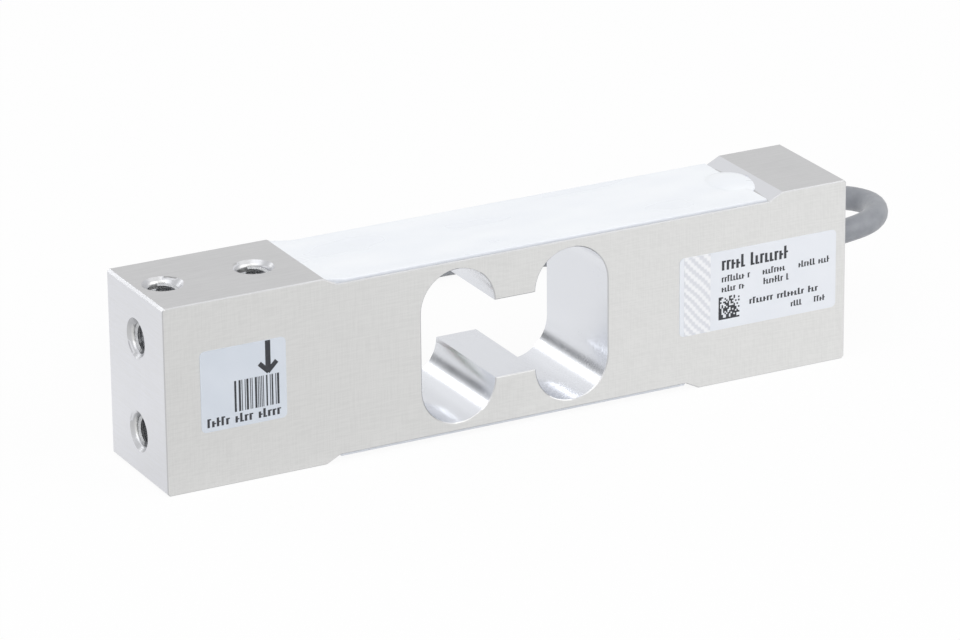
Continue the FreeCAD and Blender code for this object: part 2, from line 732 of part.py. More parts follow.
def build_coil():
    """The wound length as one ring, open where its last turn ends, and the stretch that runs on to it."""
    body = doc.addObject("PartDesign::Body", "CoilRing")
    inner, outer = "coil_outer - coil_step - cable_radius", "coil_outer + cable_radius"
    top = "coil_step + 2 * cable_radius"
    ring = new_sketch(body, "CoilSection", "XZ_Plane")
    cut_corner = "cable_radius / 2"
    outline(ring, [
        (f"{inner} + {cut_corner}", "0"),
        (f"{outer} - {cut_corner}", "0"),
        (outer, cut_corner),
        (outer, f"{top} - {cut_corner}"),
        (f"{outer} - {cut_corner}", top),
        (f"{inner} + {cut_corner}", top),
        (inner, f"{top} - {cut_corner}"),
        (inner, cut_corner),
    ])
    turns = body.newObject("PartDesign::Revolution", "Turns")
    turns.Profile = ring
    turns.ReferenceAxis = (ring, ["V_Axis"])
    turns.Angle = 360
    notch = new_sketch(body, "NotchSection", "XZ_Plane")
    outline(notch, [
        ("coil_outer - coil_step / 2", "cable_radius + coil_step / 2"),
        (f"{outer} + cable_radius", "cable_radius + coil_step / 2"),
        (f"{outer} + cable_radius", f"{top} + cable_radius"),
        ("coil_outer - coil_step / 2", f"{top} + cable_radius"),
    ])
    gap = body.newObject("PartDesign::Groove", "LastTurnGap")
    gap.Profile = notch
    gap.ReferenceAxis = (notch, ["V_Axis"])
    bind(gap, Angle="notch_sweep")
    body.Placement = Placement(Vector(COIL_CENTRE[0], COIL_CENTRE[1], 0),
                               Rotation(Vector(0, 0, 1), size("notch_start")))
    doc.recompute()
    lead_in = rod("CoilLeadIn", "0", "0", "cable_radius", "cable_radius", "coil_lead_in", "X")
    lead_in.setExpression("Placement.Base.x", None)
    lead_in.setExpression("Placement.Base.y", None)
    spot = COIL_CENTRE[0], COIL_CENTRE[1] + size("coil_outer"), size("cable_radius")
    lead_in.Placement.Base = Vector(*spot)
    keep("cable_coil", joined("CableCoil", [body, lead_in]))


def coil_spot(radius, angle, height):
    """A point over the coil, from its centre."""
    turn = math.radians(angle)
    return (COIL_CENTRE[0] + radius * math.cos(turn), COIL_CENTRE[1] + radius * math.sin(turn), height)


def build_cable_end():
    """The sleeve on the jacket's end, four cores out of it, and their bare tips, lying on the coil."""
    height = "cable_radius + coil_step / 2 + sleeve_radius + wire_clearance"
    sleeve = doc.addObject("Part::Torus", "EndSleeve")
    sleeve.Placement = Placement(Vector(COIL_CENTRE[0], COIL_CENTRE[1], 0),
                                 Rotation(Vector(0, 0, 1), size("notch_start")))
    bind(sleeve, Radius1="coil_outer + wire_clearance", Radius2="sleeve_radius",
         Angle3="sleeve_length / (coil_outer + wire_clearance) * 180 / 3.14159265", Placement__Base__z=height)
    keep("end_sleeve", sleeve)
    doc.recompute()
    radius, core_radius = number("coil_outer + wire_clearance"), size("end_core_radius")
    start = size("notch_start") + math.degrees(size("sleeve_length") / radius)
    rest = number("cable_radius + coil_step / 2") + core_radius + size("wire_clearance")
    level = number(height) - size("sleeve_radius") / 4
    heading = Rotation(Vector(0, 0, 1), start + 90).multVec(Vector(1, 0, 0))
    tips = []
    for i, colour in enumerate(CORE_COLOURS):
        spread = (i - 1.5) * 2 * (core_radius + size("wire_clearance"))
        reach = math.degrees((size("end_core_length") - i * core_radius) / radius)
        first = Vector(*coil_spot(radius + spread, start, level))
        spots = [
            first,
            first + heading * (6 * core_radius),
            coil_spot(radius + 1.1 * spread, start + 0.62 * reach, rest),
            coil_spot(radius + 1.2 * spread, start + reach, rest),
        ]
        tube("end_core_" + colour, spots, core_radius)
        ahead = Vector(*spots[3]) - Vector(*spots[2])
        tip = doc.addObject("Part::Feature", f"Tip{i}")
        tip.Shape = Part.makeCylinder(size("tip_radius"), size("tip_length"), Vector(*spots[3]), ahead)
        tips.append(tip)
    keep("core_tips", group("CoreTips", tips))


build_beam()
for gauge_side in ("top", "bottom"):
    gauge("near", gauge_side, "-bore_x")
    gauge("far", gauge_side, "bore_x")
build_board()
build_bottom_terminals()
build_leads()
build_entry()
doc.recompute()
build_coatings()
sticker("serial_label", "SerialLabel", "serial_inset - half_length", "serial_length", "label_thickness")
sticker("type_label", "TypeLabel", "half_length - type_inset - type_length", "type_length", "label_thickness")
sticker("type_label_foil", "TypeLabelFoil", "half_length - type_inset - type_length + label_round",
        "foil_length - label_round", "foil_film", "label_thickness", rounded=False)
build_cable()
build_coil()
build_cable_end()
doc.recompute()

failed = [o.Name for o in doc.Objects if "Invalid" in o.State or "Error" in o.State]
if failed:
    raise RuntimeError("failed objects: " + ", ".join(failed))
for label, item in parts.items():
    if item.Shape.isNull() or not item.Shape.isValid() or item.Shape.Volume <= 0:
        raise RuntimeError("bad shape: " + label)

os.makedirs("parts", exist_ok=True)
for label, item in parts.items():
    item.Shape.exportStep(os.path.join("parts", label + ".step"))
print(len(parts), "pieces")
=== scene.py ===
"""Dress the single point load cell: milled beam, white silicone, stickers, tapped threads and grey lead.

Places are in metres in the model's own frame: +X runs along the beam to the lead's end, +Z is up and the
face with the stickers looks to -Y. The beam stands on z = 0 with its middle over the origin. Sizes that a
class holds are in millimetres unless it says otherwise.
"""

import logging
import math
import random
from dataclasses import dataclass, field
from enum import Enum
from typing import Any

import bmesh
import bpy
from mathutils import Euler, Matrix, Vector

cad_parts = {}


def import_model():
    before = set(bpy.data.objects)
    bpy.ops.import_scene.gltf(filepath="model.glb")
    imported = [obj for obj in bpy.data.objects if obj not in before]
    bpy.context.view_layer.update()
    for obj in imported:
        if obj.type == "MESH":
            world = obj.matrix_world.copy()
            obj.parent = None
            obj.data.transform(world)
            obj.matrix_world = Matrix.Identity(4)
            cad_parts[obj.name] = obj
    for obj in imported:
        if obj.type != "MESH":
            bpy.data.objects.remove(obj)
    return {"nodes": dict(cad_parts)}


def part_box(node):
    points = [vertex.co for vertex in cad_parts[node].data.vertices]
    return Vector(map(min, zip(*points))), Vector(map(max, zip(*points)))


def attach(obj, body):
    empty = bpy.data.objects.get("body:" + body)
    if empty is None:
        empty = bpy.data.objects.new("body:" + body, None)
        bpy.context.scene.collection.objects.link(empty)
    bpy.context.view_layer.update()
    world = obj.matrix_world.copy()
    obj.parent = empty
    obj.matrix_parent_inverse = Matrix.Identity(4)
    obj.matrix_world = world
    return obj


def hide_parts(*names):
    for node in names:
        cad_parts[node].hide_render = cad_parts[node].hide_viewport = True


LOG = logging.getLogger("load_cell")
MM = 0.001
BODY = "root"
WELD = 1e-7
WHITE = "#FFFFFF"
# What a wave texture of scale 1 repeats after.
WAVE_PERIOD = 0.314

Tree = bpy.types.NodeTree
Node = bpy.types.Node
Socket = bpy.types.NodeSocket
Triple = tuple[float, float, float]


class Slot(Enum):
    """The record's material slots, by name."""

    ALUMINIUM = "milled_aluminium"
    SILICONE = "white_silicone"
    LABEL = "label_film"
    JACKET = "grey_jacket"


class Way(Enum):
    """The ways that a tapped hole can be bored into the beam."""

    DOWN = (0.0, 0.0, -1.0)
    UP = (0.0, 0.0, 1.0)
    INWARD = (1.0, 0.0, 0.0)


def linear(code: str) -> tuple[float, float, float, float]:
    """Turn an sRGB hex colour into linear values.

    Args:
        code: the colour as "#RRGGBB".

    Returns:
        Red, green, blue and an alpha of 1.
    """
    channels = [int(code[i:i + 2], 16) / 255 for i in (1, 3, 5)]
    red, green, blue = [c / 12.92 if c <= 0.04045 else ((c + 0.055) / 1.055) ** 2.4 for c in channels]
    return red, green, blue, 1.0


def add_node(tree: Tree, kind: str, inputs: dict[int | str, Any] | None = None, **settings: Any) -> Node:
    """Add a shader node with its settings, values and links.

    Args:
        tree: the tree that gets the node.
        kind: the node's type, without the ShaderNode that each begins with.
        inputs: by name or number, a value, a hex colour, a socket, or a node whose first output is linked.
        settings: attributes of the node.

    Returns:
        The new node.
    """
    node = tree.nodes.new(f"ShaderNode{kind}")
    for name, value in settings.items():
        setattr(node, name, value)
    for name, value in (inputs or {}).items():
        if isinstance(value, Node):
            value = value.outputs[0]
        if isinstance(value, Socket):
            tree.links.new(value, node.inputs[name])
        else:
            node.inputs[name].default_value = linear(value) if isinstance(value, str) else value
    return node


def grain(tree: Tree, place: Socket, size: Triple | float, detail: float = 2.0) -> Node:
    """Lay an uneven grain of a real size over a piece.

    Args:
        tree: the tree that gets the nodes.
        place: the coordinates.
        size: the grain's size in millimetres, along X, Y and Z or the same along all.
        detail: how many finer layers it has.

    Returns:
        The node with the grain, from 0 to 1.
    """
    sizes = size if isinstance(size, tuple) else (size, size, size)
    mapped = add_node(tree, "Mapping", {"Vector": place, "Scale": tuple(1 / (span * MM) for span in sizes)})
    return add_node(tree, "TexNoise", {"Vector": mapped, "Scale": 1.0, "Detail": detail})


def between(tree: Tree, pattern: Node | Socket, low: Any, high: Any, start: float = 0.3, end: float = 0.7,
            most: float = 1.0) -> Socket:
    """Go from one number or colour to another as a pattern rises, and hold them on both sides.

    Args:
        tree: the tree that gets the nodes.
        pattern: what rises.
        low: the number, hex colour or colour socket below the start.
        high: the same above the end.
        start: the pattern's level where the change starts.
        end: its level where the change is done.
        most: how much of the way a colour goes.

    Returns:
        The socket with the number or colour.
    """
    is_number = isinstance(low, (int, float))
    first, last = (low, high) if is_number else (0.0, most)
    share = add_node(tree, "MapRange", {0: pattern, 1: start, 2: end, 3: first, 4: last}, clamp=True)
    if is_number:
        return share.outputs[0]
    return add_node(tree, "Mix", {0: share, 6: low, 7: high}, data_type="RGBA").outputs[2]


def facing(tree: Tree) -> list[Node]:
    """Tell how squarely a surface looks along X, Y and Z.

    Args:
        tree: the tree that gets the nodes.

    Returns:
        For each axis, the node that is 1 where the surface looks straight along it and 0 where it doesn't.
    """
    normal = add_node(tree, "SeparateXYZ", {0: add_node(tree, "NewGeometry").outputs["Normal"]})
    return [add_node(tree, "Math", {0: part}, operation="ABSOLUTE") for part in normal.outputs]


# Finishes.

@dataclass(frozen=True)
class Finish:
    """One surface finish, with a colour, a roughness and what shows close up."""

    name: str
    colour: str
    roughness: float
    metallic: float = 0.0
    coat: float = 0.0
    coat_roughness: float = 0.2

    def material(self) -> bpy.types.Material:
        """Build the finish's material, or find the one built before.

        Returns:
            The material.
        """
        known = bpy.data.materials.get(self.name)
        if known:
            return known
        material = bpy.data.materials.new(self.name)
        material.use_nodes = True
        tree = material.node_tree
        tree.nodes.clear()
        place = add_node(tree, "TexCoord").outputs["Object"]
        even = {"Base Color": self.colour, "Roughness": self.roughness, "Metallic": self.metallic,
                "Coat Weight": self.coat, "Coat Roughness": self.coat_roughness}
        shader = add_node(tree, "BsdfPrincipled", even | self.close_up(tree, place))
        add_node(tree, "OutputMaterial", {"Surface": shader})
        return material

    def close_up(self, tree: Tree, place: Socket) -> dict[str, Any]:
        """Make the detail that is seen close up; each finish has its own."""
        raise NotImplementedError

    def dress(self, *pieces: bpy.types.Object) -> None:
        """Give the finish to whole pieces.

        Args:
            pieces: the pieces.
        """
        for piece in pieces:
            piece.data.materials.clear()
            piece.data.materials.append(self.material())
            LOG.info("%s: %s", piece.name, self.name)


@dataclass(frozen=True)
class MilledAluminium(Finish):
    """Aluminium alloy milled on all sides: satin, with crossed cutter lines on the broad faces.

    Painted light and shade: the tone follows which way a face looks. The upper and lower faces are a shade
    darker, slants such as chamfers and countersinks darker still, the ramps paler, the ends lighter, and the
    window's walls lighter too, with their floors a little darker. The window's walls, reamed and end-milled,
    are also smoother. Real cutter lines lie about 0.1 mm apart, which is too fine to show, so they are drawn
    more than twice as wide.
    """

    broad: str = "#DCDCDB"
    broad_light: str = "#E2E2E1"
    # Painted light and shade: the tones from here on give each way a face looks its own brightness, darker on
    # the upper and lower faces and the slants, lighter on the ends and the window's walls.
    shaded_flat: str = "#C0C0C1"
    shaded_flat_light: str = "#C8C8C9"
    end: str = "#E6E7EC"
    edge: str = "#BDBEC1"
    ramp: str = "#D6D7DB"
    window: str = "#E2E4E9"
    window_level: str = "#D8DADF"
    window_roughness: float = 0.24
    window_half: float = 21.2
    window_base: float = 2.6
    window_top: float = 35.6
    line: float = 0.26
    line_length: float = 5.0
    line_depth: float = 0.003
    cloud: float = 14.0
    arc_pitch: float = 1.3
    arc_centre: Triple = (30.0, 0.0, 50.0)
    arc_share: float = 0.05

    def close_up(self, tree: Tree, place: Socket) -> dict[str, Any]:
        """Lay cutter lines by the way each face looks, and faint arcs on the broad faces.

        Args:
            tree: the tree that gets the nodes.
            place: the coordinates.

        Returns:
            What each of the shader's varied inputs gets.
        """
        end_on, front_on, level_on = facing(tree)
        along = grain(tree, place, (self.line_length, self.line, self.line))
        upright = grain(tree, place, (self.line, self.line, self.line_length))
        across = grain(tree, place, (self.line, self.line_length, self.line))
        crossed = add_node(tree, "Math", {0: along, 1: upright}, operation="ADD")
        weave = add_node(tree, "Math", {0: crossed, 1: 0.5}, operation="MULTIPLY")
        arcs = add_node(tree, "Math", {0: self.arcs(tree, place), 1: self.arc_share}, operation="MULTIPLY")
        lines = add_node(tree, "Math", {0: weave, 1: arcs}, operation="ADD")
        inner = self.inside_window(tree, place, front_on)

        end = between(tree, across, self.end, self.broad, most=0.3)
        # Painted light and shade: the tone is picked by which way a face looks, darker on slants and on the
        # upper and lower faces, paler on ramps, lighter on ends and the window's walls.
        slope = between(tree, level_on, self.edge, self.ramp, 0.76, 0.86)
        side = between(tree, end_on, slope, end, 0.75, 0.9)
        shaded_flat = between(tree, along, self.shaded_flat, self.shaded_flat_light)
        colour = between(tree, level_on, side, shaded_flat, 0.92, 0.98)
        window = between(tree, level_on, self.window, self.window_level, 0.9, 0.99)
        colour = between(tree, inner, colour, window, 0.0, 1.0)
        broad = between(tree, lines, self.broad, self.broad_light, 0.4, 0.62)
        colour = between(tree, front_on, colour, broad, 0.6, 0.9)

        cloudy = between(tree, grain(tree, place, self.cloud), -0.03, 0.03)
        uneven = add_node(tree, "Math", {0: cloudy, 1: between(tree, lines, -0.04, 0.04)}, operation="ADD")
        even = between(tree, inner, self.roughness, self.window_roughness, 0.0, 1.0)
        rough = add_node(tree, "Math", {0: uneven, 1: even}, operation="ADD")
        height = add_node(tree, "Math", {0: lines, 1: across}, operation="ADD")
        bump = add_node(tree, "Bump", {"Strength": 1.0, "Distance": self.line_depth * MM, "Height": height})
        return {"Base Color": colour, "Roughness": rough, "Normal": bump}

    def arcs(self, tree: Tree, place: Socket) -> Socket:
        """Add the arcs that a large face cutter leaves, from a centre well below the beam.

        Args:
            tree: the tree that gets the nodes.
            place: the coordinates.

        Returns:
            The socket with the arcs, from 0 to 1.
        """
        offset = tuple(value * MM for value in self.arc_centre)
        centre = add_node(tree, "Mapping", {"Vector": place, "Location": offset, "Scale": (1.0, 0.0, 1.0)})
        rings = add_node(tree, "TexWave", {
            "Vector": centre, "Scale": WAVE_PERIOD / (self.arc_pitch * MM), "Distortion": 1.5, "Detail": 1.0},
            wave_type="RINGS", rings_direction="Y")
        return rings.outputs["Fac"]

    def inside_window(self, tree: Tree, place: Socket, front_on: Node) -> Node:
        """Tell the window's walls from the other faces by their place.

        Args:
            tree: the tree that gets the nodes.
            place: the coordinates.
            front_on: how squarely the surface looks along Y.

        Returns:
            The node that is 1 on the window's walls.
        """
        spot = add_node(tree, "SeparateXYZ", {0: place})
        off_middle = add_node(tree, "Math", {0: spot.outputs[0]}, operation="ABSOLUTE")
        half = add_node(tree, "Math", {0: off_middle, 1: self.window_half * MM}, operation="LESS_THAN")
        below = add_node(tree, "Math", {0: spot.outputs[2], 1: self.window_top * MM}, operation="LESS_THAN")
        above = add_node(tree, "Math", {0: spot.outputs[2], 1: self.window_base * MM},
                         operation="GREATER_THAN")
        level = add_node(tree, "Math", {0: below, 1: above}, operation="MULTIPLY")
        framed = add_node(tree, "Math", {0: half, 1: level}, operation="MULTIPLY")
        wall = add_node(tree, "Math", {0: front_on, 1: 0.3}, operation="LESS_THAN")
        return add_node(tree, "Math", {0: framed, 1: wall}, operation="MULTIPLY")


@dataclass(frozen=True)
class CutThread(Finish):
    """Thread cut by a tap: bright flanks with fine tearing round the hole."""

    shade: str = "#A9ABAE"
    tear: float = 0.25

    def close_up(self, tree: Tree, place: Socket) -> dict[str, Any]:
        """Vary the brightness and roughness from flank to flank.

        Args:
            tree: the tree that gets the nodes.
            place: the coordinates.

        Returns:
            What each of the shader's varied inputs gets.
        """
        torn = grain(tree, place, self.tear)
        return {"Base Color": between(tree, torn, self.shade, self.colour),
                "Roughness": between(tree, torn, self.roughness - 0.08, self.roughness + 0.1)}


@dataclass(frozen=True)
class WhiteSilicone(Finish):
    """Silicone rubber cast by hand over the gauges: glossy, cold white, gently uneven."""

    shade: str = "#EDF1F7"
    # Painted shade: the colour given to faces and edges that look along Y.
    painted_side_shade: str = "#D3D7DE"
    wave: Triple = (16.0, 7.0, 7.0)
    wave_depth: float = 0.2
    skin: float = 0.9
    skin_share: float = 0.002

    def close_up(self, tree: Tree, place: Socket) -> dict[str, Any]:
        """Add slow waves from spreading by hand, a fine skin, and a painted shade on the faces and edges that
        look along Y.

        Args:
            tree: the tree that gets the nodes.
            place: the coordinates.

        Returns:
            What each of the shader's varied inputs gets.
        """
        wave = grain(tree, place, self.wave, 1.0)
        colour = between(tree, wave, self.shade, self.colour)
        skin = add_node(tree, "Math", {0: grain(tree, place, self.skin), 1: self.skin_share},
                        operation="MULTIPLY")
        height = add_node(tree, "Math", {0: wave, 1: skin}, operation="ADD")
        bump = add_node(tree, "Bump", {"Strength": 1.0, "Distance": self.wave_depth * MM, "Height": height})
        # Painted shade: the faces that look along Y are darkened.
        return {"Base Color": between(tree, facing(tree)[1], colour, self.painted_side_shade, 0.5, 0.9),
                "Roughness": between(tree, wave, self.roughness - 0.05, self.roughness + 0.06),
                "Normal": bump}


@dataclass(frozen=True)
class PolyesterFilm(Finish):
    """Printed label stock: cool white polyester film with a faint orange peel."""

    shade: str = "#C9D0DA"
    patch: float = 9.0
    peel: float = 0.5
    peel_depth: float = 0.004

    def close_up(self, tree: Tree, place: Socket) -> dict[str, Any]:
        """Add slow shading from the adhesive and a fine peel.

        Args:
            tree: the tree that gets the nodes.
            place: the coordinates.

        Returns:
            What each of the shader's varied inputs gets.
        """
        patch = grain(tree, place, self.patch, 1.0)
        peel = grain(tree, place, self.peel)
        bump = add_node(tree, "Bump", {"Strength": 1.0, "Distance": self.peel_depth * MM, "Height": peel})
        return {"Base Color": between(tree, patch, self.colour, self.shade, most=0.55),
                "Roughness": between(tree, peel, self.roughness, self.roughness + 0.08),
                "Normal": bump}


@dataclass(frozen=True)
class EmbossedFoil(Finish):
    """Silvery security foil: slanting bands in low relief, each painted lighter as a painted sheen."""

    # Painted sheen: the lighter colour of the bands.
    bright: str = "#F1F2F5"
    pitches: tuple[float, float] = (1.5, 0.93)
    slants: tuple[float, float] = (42.0, -50.0)
    shares: tuple[float, float] = (0.7, 0.3)
    depth: float = 0.01

    def close_up(self, tree: Tree, place: Socket) -> dict[str, Any]:
        """Lay two crossing sets of slanting bands.

        Args:
            tree: the tree that gets the nodes.
            place: the coordinates.

        Returns:
            What each of the shader's varied inputs gets.
        """
        sets = [add_node(tree, "Math", {0: self.bands(tree, place, slant, pitch), 1: share},
                         operation="MULTIPLY")
                for slant, pitch, share in zip(self.slants, self.pitches, self.shares)]
        crossed = add_node(tree, "Math", {0: sets[0], 1: sets[1]}, operation="ADD")
        light = between(tree, crossed, 0.0, 1.0, 0.25, 0.75)
        bump = add_node(tree, "Bump", {"Strength": 1.0, "Distance": self.depth * MM, "Height": light})
        # Painted sheen: the bands' base colour is lighter; their bump and lower roughness are the relief.
        return {"Base Color": between(tree, light, self.colour, self.bright, 0.0, 1.0),
                "Roughness": between(tree, light, self.roughness + 0.1, self.roughness, 0.0, 1.0),
                "Normal": bump}

    def bands(self, tree: Tree, place: Socket, slant: float, pitch: float) -> Socket:
        """Add one set of straight bands on the front face.

        Args:
            tree: the tree that gets the nodes.
            place: the coordinates.
            slant: how far the bands lean, in degrees.
            pitch: from one band to the next, in millimetres.

        Returns:
            The socket with the bands, from 0 to 1.
        """
        turned = add_node(tree, "Mapping", {"Vector": place, "Rotation": (0.0, math.radians(slant), 0.0)})
        wave = add_node(tree, "TexWave", {
            "Vector": turned, "Scale": WAVE_PERIOD / (pitch * MM), "Distortion": 3.0, "Detail": 1.0,
            "Detail Scale": 0.5}, bands_direction="X")
        return wave.outputs["Fac"]


@dataclass(frozen=True)
class PrintedInk(Finish):
    """Thermal transfer print: near black, a little lighter where the ribbon ran thin."""

    thin: str = "#3C3E44"
    patch: float = 0.6

    def close_up(self, tree: Tree, place: Socket) -> dict[str, Any]:
        """Thin the ink in small patches."""
        patch = grain(tree, place, self.patch)
        return {"Base Color": between(tree, patch, self.colour, self.thin, 0.5, 0.8)}


@dataclass(frozen=True)
class Extruded(Finish):
    """Extruded or moulded plastic: slightly mottled, with a fine skin."""

    shade: str = "#808389"
    mottle: float = 2.4
    grit: float = 0.35
    grit_depth: float = 0.012

    def close_up(self, tree: Tree, place: Socket) -> dict[str, Any]:
        """Add mottling and the skin's grit.

        Args:
            tree: the tree that gets the nodes.
            place: the coordinates.

        Returns:
            What each of the shader's varied inputs gets.
        """
        skin = grain(tree, place, self.grit)
        bump = add_node(tree, "Bump", {"Strength": 1.0, "Distance": self.grit_depth * MM, "Height": skin})
        return {"Base Color": between(tree, grain(tree, place, self.mottle), self.shade, self.colour),
                "Roughness": between(tree, skin, self.roughness - 0.05, self.roughness + 0.07),
                "Normal": bump}


@dataclass(frozen=True)
class Metallic(Finish):
    """Solder, foil or enamelled wire: bright metal with small crystals or strands."""

    shade: str = "#909296"
    crystal: float = 0.3
    crystal_depth: float = 0.006

    def close_up(self, tree: Tree, place: Socket) -> dict[str, Any]:
        """Vary colour and roughness from crystal to crystal.

        Args:
            tree: the tree that gets the nodes.
            place: the coordinates.

        Returns:
            What each of the shader's varied inputs gets.
        """
        patch = grain(tree, place, self.crystal)
        bump = add_node(tree, "Bump", {"Strength": 1.0, "Distance": self.crystal_depth * MM, "Height": patch})
        return {"Base Color": between(tree, patch, self.shade, self.colour),
                "Roughness": between(tree, patch, self.roughness, self.roughness + 0.15),
                "Normal": bump}


# Bare metal of the bar: satin and near neutral; the tap leaves its threads brighter.
BEAM_METAL = MilledAluminium("aluminium_milled", "#D6D6D4", 0.36, 1.0)
THREAD_METAL = CutThread("aluminium_thread_cut", "#D9DADC", 0.28, 1.0)
# Cast rubber: cold white under a soft gloss.
SILICONE = WhiteSilicone("silicone_white_cast", "#F4F7FB", 0.3, coat=0.25)
# Label stock: the small sticker is a shade greyer than the large one; the foil strip flickers in bands.
SERIAL_FILM = PolyesterFilm("polyester_film_grey", "#D3D9E2", 0.38)
TYPE_FILM = PolyesterFilm("polyester_film_white", "#E6E9EF", 0.38, shade="#E0E4EB")
FOIL = EmbossedFoil("foil_embossed", "#DADCE2", 0.34, 0.5)
INK = PrintedInk("ink_thermal_transfer", "#2E3036", 0.5)
# The lead: a satin grey jacket, a shrunk sleeve and a glossy black seal where it enters the bar.
JACKET = Extruded("pvc_jacket_grey", "#94979D", 0.42, coat=0.1, shade="#888B91")
SLEEVE = Extruded("polyolefin_sleeve_shrunk", "#1E1F22", 0.5, shade="#17181A")
SEAL = Extruded("epoxy_seal_black", "#1B1C1F", 0.3, shade="#141517")
CORE_SHADES = {"black": ("#202124", "#17181A"), "red": ("#B3241F", "#951C19"),
               "white": ("#E6E5E1", "#D6D5D0"), "green": ("#1F7A3C", "#186431")}
# Under the silicone: green board, amber gauge backing, black chips, and bright or coppery metal.
BOARD = Extruded("glass_epoxy_solder_mask", "#1F6040", 0.4, shade="#184D33", mottle=0.7)
BACKING = Extruded("polyimide_film", "#B9792F", 0.45, shade="#A56A27", mottle=1.5)
CHIP = Extruded("thick_film_resistor", "#15161A", 0.35, shade="#101114", mottle=0.5)
SOLDER = Metallic("tin_solder", "#CBCDCF", 0.25, 1.0)
STRANDS = Metallic("copper_strands_tinned", "#C6C8C9", 0.3, 1.0, shade="#8C8D8E", crystal=0.2)
GAUGE_FOIL = Metallic("constantan_foil", "#A68C74", 0.3, 1.0, shade="#8E7661")
ENAMEL = Metallic("copper_enamelled", "#B4613A", 0.3, 0.7, shade="#96492A")


# Shared ways to make pieces.

def finish_piece(name: str, mesh: bmesh.types.BMesh, finish: Finish,
                 crease: float = 30.0) -> bpy.types.Object:
    """Turn a bmesh into a named piece that rides on the beam.

    Args:
        name: the piece's name.
        mesh: its mesh, freed here.
        finish: its finish.
        crease: edges turned by more than this many degrees stay sharp.

    Returns:
        The new object.
    """
    bmesh.ops.remove_doubles(mesh, verts=mesh.verts[:], dist=WELD)
    bmesh.ops.recalc_face_normals(mesh, faces=mesh.faces[:])
    data = bpy.data.meshes.new(name)
    mesh.to_mesh(data)
    mesh.free()
    data.shade_smooth()
    data.set_sharp_from_angle(angle=math.radians(crease))
    piece = bpy.data.objects.new(name, data)
    bpy.context.scene.collection.objects.link(piece)
    finish.dress(piece)
    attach(piece, BODY)
    LOG.info("%s: %d faces", name, len(data.polygons))
    return piece


def merged_copy(node: bpy.types.Object, name: str, finish: Finish) -> bpy.types.Object:
    """Make a joined, smooth-shaded copy of a node's mesh that stands for the node.

    Args:
        node: the node's object.
        name: the copy's name.
        finish: its finish.

    Returns:
        The copy.
    """
    mesh = bmesh.new()
    mesh.from_mesh(node.data)
    piece = finish_piece(name, mesh, finish, crease=20.0)
    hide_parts(node.name)
    level = piece.modifiers.new("level_faces", "WEIGHTED_NORMAL")
    level.mode = "FACE_AREA"
    level.weight = 100
    level.keep_sharp = True
    return piece


# The beam.

@dataclass
class TappedHole:
    """One tapped hole: the thread's ridge inside its bore.

    The mouth is in metres. The root and the crest are shares of the pitch, on each side of the ridge's
    middle.
    """

    name: str
    mouth: Triple
    way: Way
    radius: float = 3.0
    pitch: float = 1.0
    depth: float = 10.6
    start: float = 1.35
    tooth: float = 0.52
    root: float = 0.42
    crest: float = 0.08
    overlap: float = 0.02
    steps_a_turn: int = 40

    def build(self) -> bpy.types.Object:
        """Sweep the ridge's section along a helix from the countersink down the bore.

        Returns:
            The ridge.
        """
        mesh = bmesh.new()
        wall, edge = (self.radius + self.overlap) * MM, (self.radius - self.tooth) * MM
        root, crest = self.root * self.pitch * MM, self.crest * self.pitch * MM
        section = [(wall, root), (edge, crest), (edge, -crest), (wall, -root)]
        corners = [mesh.verts.new((x, 0.0, z)) for x, z in section]
        face = mesh.faces.new(corners)
        turns = (self.depth - self.start) / self.pitch
        steps = int(turns * self.steps_a_turn)
        rise = Vector((0.0, 0.0, turns * self.pitch * MM / steps))
        bmesh.ops.spin(mesh, geom=corners + face.edges[:] + [face], cent=(0, 0, 0), axis=(0, 0, 1), dvec=rise,
                       angle=turns * math.tau, steps=steps, use_merge=False, use_duplicate=False)
        way = Vector(self.way.value)
        turn = Vector((0, 0, 1)).rotation_difference(way).to_matrix().to_4x4()
        start = Matrix.Translation(Vector(self.mouth) + way * self.start * MM)
        bmesh.ops.transform(mesh, matrix=start @ turn, verts=mesh.verts[:])
        return finish_piece(f"thread_{self.name}", mesh, THREAD_METAL)


@dataclass
class Beam:
    """The milled bar, its threads and the wiring that it carries."""

    nodes: dict[str, bpy.types.Object]
    inset: float = 6.0
    pitch: float = 19.0
    end_height: float = 9.05

    def build(self) -> None:
        """Dress the bar, cut its threads and dress the pieces inside it."""
        merged_copy(self.nodes["beam"], "beam_bar", BEAM_METAL)
        for hole in self.holes():
            hole.build()
        self.dress_inner()

    def holes(self) -> list[TappedHole]:
        """Place the six tapped holes from the bar's box.

        Returns:
            The holes on top, underneath and in the near end.
        """
        low, high = [Vector(corner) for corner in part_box("beam")]
        holes = []
        for i, label in enumerate(("outer", "inner")):
            reach = (self.inset + i * self.pitch) * MM
            level = low.z + (self.end_height + i * self.pitch) * MM
            holes.append(TappedHole(f"top_{label}", (low.x + reach, 0.0, high.z), Way.DOWN))
            holes.append(TappedHole(f"under_{label}", (high.x - reach, 0.0, low.z), Way.UP))
            holes.append(TappedHole(f"end_{label}", (low.x, 0.0, level), Way.INWARD))
        return holes

    def dress_inner(self) -> None:
        """Give each piece under the silicone and in the bores its own finish."""
        finishes = {"gauge_": BACKING, "grid_": GAUGE_FOIL, "lead_": ENAMEL, "cross_wire_": ENAMEL,
                    "terminal_board": BOARD, "board_pads": SOLDER, "bottom_terminals": BACKING,
                    "trim_resistor_": CHIP, "cable_jacket_end": JACKET, "entry_seal": SEAL}
        for name, node in self.nodes.items():
            for start, finish in finishes.items():
                if name.startswith(start):
                    finish.dress(node)


# The silicone.

